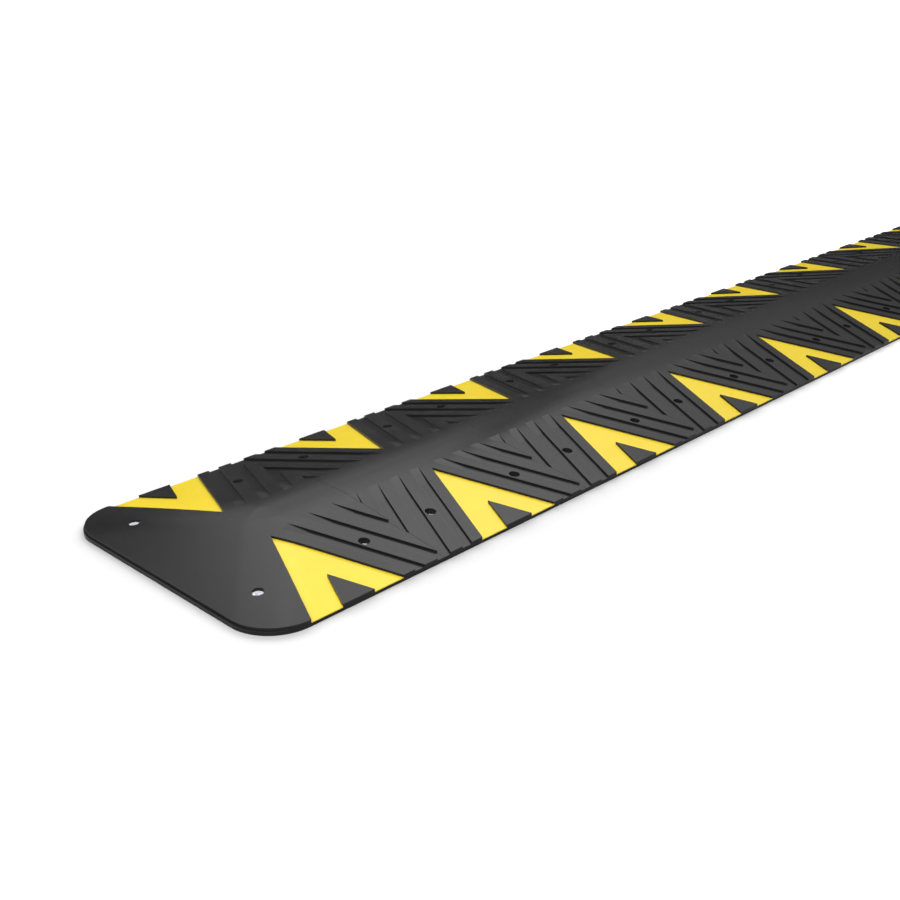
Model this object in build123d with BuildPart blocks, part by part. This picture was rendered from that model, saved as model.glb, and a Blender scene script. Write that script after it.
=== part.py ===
from build123d import *
from math import acos, atan2, cos, hypot, sin, sqrt, tan
import os

# Driving dimensions, in millimetres

# The run along the road: two end caps with middle sections between them
middle_count = 7
section_pitch = 406.4
seam_gap = 0.8

# Arched cross-section, from the road up
width = 609.6
height = 50.8
edge_height = 12.7
crown_flat = 25.4
crown_radius = 440.0

# Outer end of a cap: rounded corners, a ledge round the foot, a slope up to the crown, round hips
end_run = 196.85
corner_radius = 90.0
crown_setback = 260.35
hip_round = 60.0
ledge_height = 7.6
ledge_width = 3.2

# Yellow chevrons, which open at the long edge and point at the crown
chevron_base = 206.4
chevron_tip_y = 69.85
chevron_arm = 67.5
inlay_recess = 5.0
inlay_thickness = 1.6
inlay_fit = 0.2

# Tread: lower lands between ribs, from the first rib beside the chevron to the seam, all of one depth
# until they slope up to the surface beside the crown
first_rib = 25.4
land_pitch = 50.8
land_width = 22.2
land_count = 4
land_depth = 4.0
land_end_y = 52.0
land_runout = 50.8

# Bolt holes and the steel sleeves that stand in them
hole_spacing_x = 238.1
hole_spacing_y = 373.1
hole_diameter = 22.2
sleeve_length = 19.05
sleeve_bore = 11.0
sleeve_fit = 0.1

# Tongues that key one section into the next
tongue_spacing = 228.6
tongue_width = 76.2
tongue_length = 19.0
tongue_thickness = 12.7
tongue_floor = 9.5
tongue_chamfer = 6.0
tongue_fit = 0.5

# Cuts run this far past the surfaces that they open
cut_margin = 5.0

# Each section is drawn about its own middle, with the seams at plus and minus seam_x, and an end
# cap with the end of its foot at end_x and of its rim at rim_x
edge_y = width / 2
seam_x = (section_pitch - seam_gap) / 2
end_x = -end_run
rim_x = end_x + ledge_width

# The crown is flat as far as arc_y to each side, and begins at arc_x in an end cap
arc_y = crown_flat / 2
arc_x = end_x + crown_setback
arc_z = height - crown_radius


def crown_touch(reach):
    """Where a slope from an edge touches the crown's arc: how far from its start, and how high."""
    edge_bearing = atan2(edge_height - arc_z, reach)
    touch_bearing = edge_bearing + acos(crown_radius / hypot(reach, edge_height - arc_z))
    return crown_radius * cos(touch_bearing), arc_z + crown_radius * sin(touch_bearing)


# Straight slopes run up to the crown: the flanks on both long sides, the hip on a cap's outer end
flank_touch, crown_z = crown_touch(edge_y - arc_y)
crown_y = arc_y + flank_touch
flank_slope = (crown_z - edge_height) / (edge_y - crown_y)
end_touch, end_touch_z = crown_touch(arc_x - rim_x)
end_slope = (end_touch_z - edge_height) / (arc_x - end_touch - rim_x)

# Chevron sides and ribs share one lean: so much along the road for each step inwards, which makes
# their widths longer along the road than across
chevron_reach = edge_y - chevron_tip_y
lean = chevron_base / 2 / chevron_reach
stretch = hypot(1, lean)


def surface_z(y):
    """Height of the arched surface at a distance from the centre line."""
    if y <= arc_y:
        return height
    if y <= crown_y:
        return arc_z + sqrt(crown_radius**2 - (y - arc_y) ** 2)
    return edge_height + (edge_y - y) * flank_slope


# Cross-section of the hump, and the side view of an end cap
with BuildSketch(Plane.YZ) as hump_profile:
    with BuildLine():
        Line((-edge_y, 0), (edge_y, 0))
        for side in (-1, 1):
            Polyline((side * edge_y, 0), (side * edge_y, edge_height), (side * crown_y, crown_z))
            TangentArc((side * arc_y, height), (side * crown_y, crown_z), tangent=(side, 0))
        Line((-arc_y, height), (arc_y, height))
    make_face()

with BuildSketch(Plane.XZ) as end_profile:
    with BuildLine():
        Polyline((arc_x, height), (seam_x, height), (seam_x, 0), (rim_x, 0), (rim_x, edge_height))
        Line((rim_x, edge_height), (arc_x - end_touch, end_touch_z))
        TangentArc((arc_x, height), (arc_x - end_touch, end_touch_z), tangent=(-1, 0))
    make_face()


def cap_outline(outer_x):
    """Plan of an end cap's foot or rim: square at the seam, round at its outer corners."""
    side_x = outer_x + corner_radius
    corner_y = edge_y - corner_radius
    with BuildSketch() as outline:
        with BuildLine():
            Line((seam_x, -edge_y), (side_x, -edge_y))
            TangentArc((side_x, -edge_y), (outer_x, -corner_y), tangent=(-1, 0))
            Line((outer_x, -corner_y), (outer_x, corner_y))
            TangentArc((outer_x, corner_y), (side_x, edge_y), tangent=(0, 1))
            Polyline((side_x, edge_y), (seam_x, edge_y), (seam_x, -edge_y))
        make_face()
    return outline.sketch


def hip_cutter(side):
    """What is cut off the ridge between flank and end slope: a round that touches both of them."""
    flank_normal = Vector(0, side * flank_slope, 1).normalized()
    end_normal = Vector(-end_slope, 0, 1).normalized()
    hip_plane = Plane(
        origin=(rim_x, side * edge_y, edge_height),
        x_dir=flank_normal + end_normal,
        z_dir=(flank_slope, -side * end_slope, flank_slope * end_slope),
    )
    half_turn = acos(flank_normal.dot(end_normal)) / 2
    touch = (-hip_round * sin(half_turn), hip_round * cos(half_turn))
    ridge_cut = hip_round * (1 / sin(half_turn) - 1 / tan(half_turn))
    with BuildPart() as cutter:
        with BuildSketch(hip_plane):
            with BuildLine():
                ThreePointArc((touch[0], -touch[1]), (-ridge_cut, 0), touch)
                Polyline(touch, (cut_margin, touch[1]), (cut_margin, -touch[1]), (touch[0], -touch[1]))
            make_face()
        extrude(amount=width, both=True)
    return cutter.part


# Plain arched block of a middle section
with BuildPart() as section_block:
    extrude(hump_profile.sketch, amount=seam_x, both=True)

# Plain block of an end cap above its foot: a section's block with a sloped, round-cornered end
with BuildPart() as cap_block:
    add(section_block.part)
    extrude(end_profile.sketch, amount=edge_y, both=True, mode=Mode.INTERSECT)
    for side in (-1, 1):
        add(hip_cutter(side), mode=Mode.SUBTRACT)
    extrude(cap_outline(rim_x), amount=height, mode=Mode.INTERSECT)


def chevron_sketch(side, fit):
    """Plan of the chevron on one long side, drawn in by a fit and run past the edge.

    It lies at the level where the pocket's floor comes out of the edge.
    """
    rim_floor = edge_height - inlay_recess - inlay_thickness
    notch_reach = (chevron_base / 2 - chevron_arm) / lean
    outside = -cut_margin
    half = chevron_base / 2 - lean * outside
    inner_half = half - chevron_arm
    steps = [
        (-half, outside),
        (-inner_half, outside),
        (0, notch_reach),
        (inner_half, outside),
        (half, outside),
        (0, chevron_reach),
    ]
    with BuildSketch(Plane.XY.offset(rim_floor)) as chevron:
        Polygon(*[(x, side * (edge_y - step)) for x, step in steps], align=None)
        offset(amount=-fit, kind=Kind.INTERSECTION)
    return chevron.sketch


def chevron_pockets(block):
    """What is cut out of a block for both chevrons: all above a floor under its surface."""
    floor = block.moved(Location((0, 0, -inlay_recess - inlay_thickness)))
    with BuildPart() as pockets:
        for side in (-1, 1):
            extrude(chevron_sketch(side, 0), amount=height)
        add(floor, mode=Mode.SUBTRACT)
    return pockets.part


def chevron_inlay(block, side):
    """The yellow sheet on the pocket's floor, with its top below the block's surface."""
    top = block.moved(Location((0, 0, -inlay_recess)))
    floor = block.moved(Location((0, 0, -inlay_recess - inlay_thickness)))
    with BuildPart() as inlay:
        extrude(chevron_sketch(side, inlay_fit), amount=height)
        add(top, mode=Mode.INTERSECT)
        add(floor, mode=Mode.SUBTRACT)
    return inlay.part


def tread_lands(ends):
    """What is cut out for the lands beside a seam, at one end of a section or at both."""
    land_reach = edge_y - land_end_y
    runout_y = land_end_y + land_runout
    outside = -cut_margin
    with BuildPart() as lands:
        with BuildSketch():
            for end in ends:
                for side in (-1, 1):
                    for land in range(land_count):
                        near_x = chevron_base / 2 + (first_rib + land * land_pitch) * stretch
                        far_x = near_x + land_width * stretch
                        corners = [
                            (near_x - lean * outside, outside),
                            (far_x - lean * outside, outside),
                            (far_x - lean * land_reach, land_reach),
                            (near_x - lean * land_reach, land_reach),
                        ]
                        plan = [(end * x, side * (edge_y - step)) for x, step in corners]
                        Polygon(*plan, align=None)
        extrude(amount=height)
        with BuildSketch(Plane.YZ):
            for side in (-1, 1):
                floor = [
                    (side * land_end_y, 0),
                    (side * land_end_y, surface_z(land_end_y)),
                    (side * runout_y, surface_z(runout_y) - land_depth),
                    (side * (edge_y - outside), edge_height + flank_slope * outside - land_depth),
                    (side * (edge_y - outside), 0),
                ]
                Polygon(*floor, align=None)
        extrude(amount=section_pitch, both=True, mode=Mode.SUBTRACT)
    return lands.part


def seam_keys(root_x, fit):
    """Both tongues of a seam, from the face that they grow out of, or their sockets with a fit."""
    middle_z = tongue_floor + tongue_thickness / 2
    with BuildPart() as keys:
        with Locations((root_x, -tongue_spacing / 2, middle_z), (root_x, tongue_spacing / 2, middle_z)):
            Box(
                tongue_length + fit,
                tongue_width + 2 * fit,
                tongue_thickness + 2 * fit,
                align=(Align.MIN, Align.CENTER, Align.CENTER),
            )
        chamfer(keys.edges().filter_by(Axis.Z).group_by(Axis.X)[-1], tongue_chamfer)
    return keys.part


tongues = seam_keys(seam_x, 0)
sockets = seam_keys(seam_x - section_pitch, tongue_fit)

# Middle section: pockets, lands and bolt holes, tongues at one seam and sockets at the other
with BuildPart() as middle_section:
    add(section_block.part)
    add(chevron_pockets(section_block.part), mode=Mode.SUBTRACT)
    add(tread_lands((-1, 1)), mode=Mode.SUBTRACT)
    with GridLocations(hole_spacing_x, hole_spacing_y, 2, 2):
        Hole(hole_diameter / 2)
    add(tongues)
    add(sockets, mode=Mode.SUBTRACT)

# What both end caps share: a foot with its ledge, and tread on the seam's side only
with BuildPart() as cap_form:
    add(cap_block.part)
    extrude(cap_outline(end_x), amount=ledge_height)
    add(chevron_pockets(cap_block.part), mode=Mode.SUBTRACT)
    add(tread_lands((1,)), mode=Mode.SUBTRACT)
    with GridLocations(hole_spacing_x, hole_spacing_y, 2, 2):
        Hole(hole_diameter / 2)

with BuildPart() as left_cap:
    add(cap_form.part)
    add(tongues)

with BuildPart() as right_cap:
    mirror(cap_form.part, about=Plane.YZ)
    add(sockets, mode=Mode.SUBTRACT)

# Four steel sleeves, flush with the underside
with BuildPart() as sleeve_set:
    with GridLocations(hole_spacing_x, hole_spacing_y, 2, 2):
        Cylinder(
            hole_diameter / 2 - sleeve_fit,
            sleeve_length,
            align=(Align.CENTER, Align.CENTER, Align.MIN),
        )
        Hole(sleeve_bore / 2)

# Chevron inlays by the side of the road that they lie on
section_inlays = {
    "near": chevron_inlay(section_block.part, -1),
    "far": chevron_inlay(section_block.part, 1),
}
cap_inlays = {
    "near": chevron_inlay(cap_block.part, -1),
    "far": chevron_inlay(cap_block.part, 1),
}
right_cap_inlays = {}
for edge, left_inlay in cap_inlays.items():
    with BuildPart() as right_inlay:
        mirror(left_inlay, about=Plane.YZ)
    right_cap_inlays[edge] = right_inlay.part

# The run, from the left cap to the right one, about the middle of its length
stations = [("end_cap_left", "left", left_cap.part, cap_inlays)]
for number in range(1, middle_count + 1):
    stations.append((f"section_{number}", str(number), middle_section.part, section_inlays))
stations.append(("end_cap_right", "right", right_cap.part, right_cap_inlays))

os.makedirs("parts", exist_ok=True)
for index, (body_name, place, body, inlays) in enumerate(stations):
    pieces = {body_name: body, f"bolt_sleeves_{place}": sleeve_set.part}
    for edge, inlay in inlays.items():
        pieces[f"chevron_{place}_{edge}"] = inlay
    station_x = section_pitch * (index - (middle_count + 1) / 2)
    for name, piece in pieces.items():
        with BuildPart() as placed:
            with Locations((station_x, 0, 0)):
                add(piece)
        placed.part.label = name
        export_step(placed.part, f"parts/{name}.step")
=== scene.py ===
from math import cos, pi, radians, sin

import bpy
from mathutils import Matrix, Vector

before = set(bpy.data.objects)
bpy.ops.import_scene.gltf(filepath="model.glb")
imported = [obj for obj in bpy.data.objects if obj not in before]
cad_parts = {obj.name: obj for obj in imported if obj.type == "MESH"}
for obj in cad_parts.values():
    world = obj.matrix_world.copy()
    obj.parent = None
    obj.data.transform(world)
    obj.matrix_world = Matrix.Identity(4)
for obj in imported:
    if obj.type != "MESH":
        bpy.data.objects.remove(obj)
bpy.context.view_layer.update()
scene = bpy.context.scene

# Camera, in metres and degrees: its bearing turns from +X towards +Y, its dip is below level
CAMERA_PLACE = (-2.79105, -1.6521, 1.0307)
CAMERA_BEARING = 44.23
CAMERA_DIP = 22.99
CAMERA_ROLL = -0.15
CAMERA_LENS = 48.68
CAMERA_SIGHT = 200.0

# Softboxes round the hump, all aimed at one point: bearing and height in degrees, power in watts
AIM = Vector((-0.9, 0.0, 0.0))
BOX_DISTANCE = 4.0
BOX_SIZE = 2.2
SOFTBOXES = {
    "low_key_box": (20.0, 28.0, 4.0),
    "key_box": (20.0, 40.0, 16.8),
    "tall_key_box": (20.0, 52.0, 15.7),
    "high_key_box": (40.0, 52.0, 28.6),
    "back_key_box": (60.0, 40.0, 25.2),
    "high_back_box": (80.0, 52.0, 25.2),
    "fill_box": (200.0, 45.0, 111.0),
    "front_box": (260.0, 45.0, 21.0),
}
WORLD_LIGHT = 0.06

# The floor is a flat disc with an upturned rim: the radius and height of each ring of its corners
FLOOR_RINGS = [(30.0, 0.0), (36.0, 0.6), (40.0, 2.0), (42.0, 5.0), (43.0, 10.0), (43.5, 17.0)]
FLOOR_SIDES = 96
FLOOR_DROP = 0.0003
FLOOR_GREY = (0.88, 0.88, 0.88, 1.0)

# The floor glows more the farther it is from the lamps' middle, from one distance to another
LAMPS_MIDDLE = Vector((-1.4, 0.2, 0.0))
GLOW_FROM = 0.4
GLOW_TO = 4.6
LEAST_GLOW = 0.05

# The hump's shadow on the floor deepens with the share of the sky that it hides, seen from a point
# of the floor within a reach, and more of the sky towards one bearing
SHADOW_BEARING = 60.0
SHADOW_REACH = 0.12
SHADOW_SKY = 0.72
DEEPEST_SHADE = 0.755

# A dark card stands far behind the hump, above the picture, where its far flank would mirror the rim.
# It is black up to one height, and above that has a painted glow, though it is no lamp, which grows to a
# dim grey at another height.
CARD_BEARING = 45.0
CARD_DISTANCE = 23.0
CARD_WIDTH = 36.0
CARD_HEIGHT = 10.0
CARD_BLACK_TO = 1.5
CARD_GLOW_FROM = 6.0
CARD_GLOW = 0.12

# Colours of the finishes, from their darkest to their lightest, and where they are rubbed
RUBBER_TONES = [(0.014, 0.014, 0.0143, 1.0), (0.02, 0.02, 0.0202, 1.0)]
RUBBER_RUBBED = (0.05, 0.05, 0.05, 1.0)
YELLOW_TONES = [(0.9, 0.66, 0.032, 1.0), (0.97, 0.74, 0.042, 1.0)]
YELLOW_RUBBED = (0.55, 0.4, 0.05, 1.0)
ZINC_TONES = [(0.92, 0.93, 0.98, 1.0), (0.97, 0.97, 1.0, 1.0)]
CARD_CLOTH = (0.01, 0.01, 0.01, 1.0)
BLACK = (0.0, 0.0, 0.0, 1.0)
WHITE = (1.0, 1.0, 1.0, 1.0)

# Rubber and yellow have the same low gloss, which varies in cloudy patches
SATIN_GLOSS = 0.12
SATIN_ROUGHNESS = {"to_low": 0.22, "to_high": 0.27}

# Sockets of a Mix node that mixes colours
MIX_FACTOR = 0
MIX_FIRST = 6
MIX_SECOND = 7
MIX_RESULT = 2


def heading(bearing, rise):
    """The direction at a bearing and a height above level, both in degrees."""
    level = cos(radians(rise))
    return Vector((level * cos(radians(bearing)), level * sin(radians(bearing)), sin(radians(rise))))


class Graph:
    """The nodes of a material or world, with one call to add a node and feed its sockets."""

    def __init__(self, owner):
        owner.use_nodes = True
        self.tree = owner.node_tree
        self.tree.nodes.clear()

    def add(self, kind, inputs, **settings):
        """Adds a node. Inputs are values for its sockets, or other nodes' sockets to link to them."""
        node = self.tree.nodes.new("ShaderNode" + kind)
        for name, value in settings.items():
            setattr(node, name, value)
        for name, value in inputs.items():
            if isinstance(value, bpy.types.NodeSocket):
                self.tree.links.new(value, node.inputs[name])
            else:
                node.inputs[name].default_value = value
        return node

    def place(self):
        """Where a point is on the object, in metres."""
        return self.add("TexCoord", {}).outputs["Object"]

    def drawn_out(self, place, scale):
        """A place scaled along each axis, which draws a pattern out where the scale is small."""
        return self.add("Mapping", {"Vector": place, "Scale": scale}).outputs["Vector"]

    def noise(self, place, size, detail):
        """Cloudy noise with features of about a size in metres."""
        node = self.add("TexNoise", {"Vector": place, "Scale": 1 / size, "Detail": detail})
        return node.outputs["Fac"]

    def cells(self, place, size):
        """Packed cells of about a size in metres, each of its own tone."""
        node = self.add("TexVoronoi", {"Vector": place, "Scale": 1 / size})
        return node.outputs["Color"]

    def ramp(self, value, low, high, to_low=0.0, to_high=1.0):
        """Maps a value from one range to another and stops at its ends."""
        limits = {"Value": value, "From Min": low, "From Max": high, "To Min": to_low, "To Max": to_high}
        return self.add("MapRange", limits).outputs["Result"]

    def maths(self, operation, first, second):
        return self.add("Math", {0: first, 1: second}, operation=operation).outputs["Value"]

    def share(self, value, amount):
        """A value times an amount."""
        return self.maths("MULTIPLY", value, amount)

    def mix(self, factor, first, second):
        """Goes from the first colour to the second as the factor goes from 0 to 1."""
        inputs = {MIX_FACTOR: factor, MIX_FIRST: first, MIX_SECOND: second}
        return self.add("Mix", inputs, data_type="RGBA").outputs[MIX_RESULT]

    def worn_edges(self, reach, patches):
        """Convex edges within a reach, more in some patches than in others."""
        depth = self.add("AmbientOcclusion", {"Distance": reach}, inside=True, only_local=True, samples=4)
        edge = self.ramp(depth.outputs["AO"], low=0.95, high=0.5)
        return self.share(edge, self.ramp(patches, low=0.35, high=0.65, to_low=0.25))

    def bump(self, height, strength, distance):
        node = self.add("Bump", {"Height": height, "Strength": strength, "Distance": distance})
        return node.outputs["Normal"]

    def surface(self, shader, kind="OutputMaterial"):
        self.add(kind, {"Surface": shader.outputs[0]})


def rubber():
    """Matte moulded rubber: fine grain, faint granules, cloudy sheen, edges rubbed a little lighter."""
    material = bpy.data.materials.new("moulded_rubber")
    graph = Graph(material)
    place = graph.place()
    clouds = graph.noise(place, size=0.09, detail=4)
    granules = graph.cells(place, size=0.0026)
    grain = graph.noise(place, size=0.0007, detail=2)
    wear = graph.worn_edges(reach=0.003, patches=clouds)
    tone = graph.maths("ADD", graph.share(clouds, 0.7), graph.share(granules, 0.3))
    colour = graph.mix(tone, *RUBBER_TONES)
    relief = graph.maths("ADD", grain, graph.share(granules, 0.35))
    shader = graph.add("BsdfPrincipled", {
        "Base Color": graph.mix(graph.share(wear, 0.5), colour, RUBBER_RUBBED),
        "Roughness": graph.ramp(clouds, low=0.3, high=0.7, **SATIN_ROUGHNESS),
        "Specular IOR Level": SATIN_GLOSS,
        "Normal": graph.bump(relief, strength=0.12, distance=0.0003),
    })
    graph.surface(shader)
    return material


def yellow():
    """Satin yellow sheet: slight clouds in its colour, a fine grain, faint rubbing along the traffic."""
    material = bpy.data.materials.new("yellow_inlay")
    graph = Graph(material)
    place = graph.place()
    clouds = graph.noise(place, size=0.07, detail=4)
    grain = graph.noise(place, size=0.0009, detail=2)
    streaks = graph.noise(graph.drawn_out(place, (1.0, 0.08, 0.4)), size=0.006, detail=3)
    rubs = graph.ramp(streaks, low=0.62, high=0.8)
    colour = graph.mix(clouds, *YELLOW_TONES)
    shader = graph.add("BsdfPrincipled", {
        "Base Color": graph.mix(graph.share(rubs, 0.12), colour, YELLOW_RUBBED),
        "Roughness": graph.ramp(clouds, low=0.3, high=0.7, **SATIN_ROUGHNESS),
        "Specular IOR Level": SATIN_GLOSS,
        "Normal": graph.bump(grain, strength=0.06, distance=0.0002),
    })
    graph.surface(shader)
    return material


def zinc():
    """Zinc-plated steel: pale, faintly blue, with the plating's spangle and fine scratches."""
    material = bpy.data.materials.new("zinc_steel")
    graph = Graph(material)
    place = graph.place()
    spangle = graph.cells(place, size=0.0022)
    scratches = graph.noise(graph.drawn_out(place, (1.0, 0.06, 1.0)), size=0.0004, detail=2)
    shader = graph.add("BsdfPrincipled", {
        "Base Color": graph.mix(spangle, *ZINC_TONES),
        "Metallic": 0.1,
        "Roughness": graph.ramp(spangle, low=0.0, high=1.0, to_low=0.3, to_high=0.42),
        "Normal": graph.bump(scratches, strength=0.08, distance=0.0001),
    })
    graph.surface(shader)
    return material


def floor_white():
    """White studio floor: it keeps the hump's shadow near by, and fades into plain white far off."""
    material = bpy.data.materials.new("studio_floor")
    graph = Graph(material)
    path = graph.add("LightPath", {}).outputs
    seen = graph.maths("MAXIMUM", path["Is Camera Ray"], path["Is Glossy Ray"])
    seen = graph.maths("MAXIMUM", seen, path["Is Transmission Ray"])
    ends = {0: graph.place(), 1: LAMPS_MIDDLE}
    reach = graph.add("VectorMath", ends, operation="DISTANCE").outputs["Value"]
    glow = graph.ramp(reach, GLOW_FROM, GLOW_TO, to_low=LEAST_GLOW)
    lean = {"X": cos(radians(SHADOW_BEARING)), "Y": sin(radians(SHADOW_BEARING)), "Z": 1.0}
    open_sky = graph.add("AmbientOcclusion", {
        "Distance": SHADOW_REACH,
        "Normal": graph.add("CombineXYZ", lean).outputs["Vector"],
    }, samples=16).outputs["AO"]
    shade = graph.ramp(open_sky, SHADOW_SKY, 1.0, to_low=DEEPEST_SHADE)
    shader = graph.add("BsdfPrincipled", {
        "Base Color": graph.mix(shade, BLACK, FLOOR_GREY),
        "Roughness": 1.0,
        "Specular IOR Level": 0.0,
        "Emission Color": WHITE,
        "Emission Strength": graph.share(seen, graph.share(glow, shade)),
    })
    graph.surface(shader)
    return material


def card_glowing():
    """Black cloth of a studio card, without gloss, with a painted glow that grows with its height."""
    material = bpy.data.materials.new("card_glowing")
    graph = Graph(material)
    rise = graph.add("SeparateXYZ", {"Vector": graph.place()}).outputs["Z"]
    shader = graph.add("BsdfPrincipled", {
        "Base Color": CARD_CLOTH,
        "Roughness": 1.0,
        "Specular IOR Level": 0.0,
        "Emission Color": WHITE,
        # Painted glow: the card glows up to a dim grey towards its top, though it is no lamp.
        "Emission Strength": graph.ramp(rise, CARD_BLACK_TO, CARD_GLOW_FROM, to_high=CARD_GLOW),
    })
    graph.surface(shader)
    return material


def add_object(name, data):
    thing = bpy.data.objects.new(name, data)
    scene.collection.objects.link(thing)
    return thing


def add_floor():
    """A disc of rings of corners, each ring joined to the one inside it."""
    corners = []
    for radius, rise in FLOOR_RINGS:
        for side in range(FLOOR_SIDES):
            turn = 2 * pi * side / FLOOR_SIDES
            corners.append((radius * cos(turn), radius * sin(turn), rise))
    faces = [tuple(range(FLOOR_SIDES))]
    for ring in range(len(FLOOR_RINGS) - 1):
        inner = ring * FLOOR_SIDES
        outer = inner + FLOOR_SIDES
        for side in range(FLOOR_SIDES):
            following = (side + 1) % FLOOR_SIDES
            faces.append((inner + side, outer + side, outer + following, inner + following))
    mesh = bpy.data.meshes.new("floor")
    mesh.from_pydata(corners, [], faces)
    mesh.materials.append(floor_white())
    floor = add_object("floor", mesh)
    floor.location.z = -FLOOR_DROP


def add_card():
    """An upright card, hidden from the camera as the softboxes are."""
    half = CARD_WIDTH / 2
    corners = [(0, -half, 0), (0, half, 0), (0, half, CARD_HEIGHT), (0, -half, CARD_HEIGHT)]
    mesh = bpy.data.meshes.new("card")
    mesh.from_pydata(corners, [], [(0, 1, 2, 3)])
    mesh.materials.append(card_glowing())
    card = add_object("card", mesh)
    card.location = CARD_DISTANCE * heading(CARD_BEARING, 0.0)
    card.rotation_euler.z = radians(CARD_BEARING)
    card.visible_camera = False


def add_softbox(name, bearing, rise, power):
    lamp = bpy.data.lights.new(name, "AREA")
    lamp.shape = "SQUARE"
    lamp.size = BOX_SIZE
    lamp.energy = power
    box = add_object(name, lamp)
    way = heading(bearing, rise)
    box.location = AIM + BOX_DISTANCE * way
    box.rotation_euler = way.to_track_quat("Z", "Y").to_euler()
    box.visible_camera = False


def add_world():
    world = bpy.data.worlds.new("studio")
    graph = Graph(world)
    light = graph.add("Background", {"Color": WHITE, "Strength": WORLD_LIGHT})
    graph.surface(light, "OutputWorld")
    scene.world = world


def add_camera():
    lens = bpy.data.cameras.new("camera")
    lens.lens = CAMERA_LENS
    lens.clip_end = CAMERA_SIGHT
    camera = add_object("camera", lens)
    camera.matrix_world = (
        Matrix.Translation(CAMERA_PLACE)
        @ Matrix.Rotation(radians(CAMERA_BEARING - 90), 4, "Z")
        @ Matrix.Rotation(radians(90 - CAMERA_DIP), 4, "X")
        @ Matrix.Rotation(radians(CAMERA_ROLL), 4, "Z")
    )
    scene.camera = camera


finishes = {"rubber": rubber(), "marking": yellow(), "steel": zinc()}
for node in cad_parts.values():
    slot = node.material_slots[0]
    slot.material = finishes[slot.material.name]

add_floor()
add_card()
for name, settings in SOFTBOXES.items():
    add_softbox(name, *settings)
add_world()
add_camera()
scene.view_settings.view_transform = "Standard"
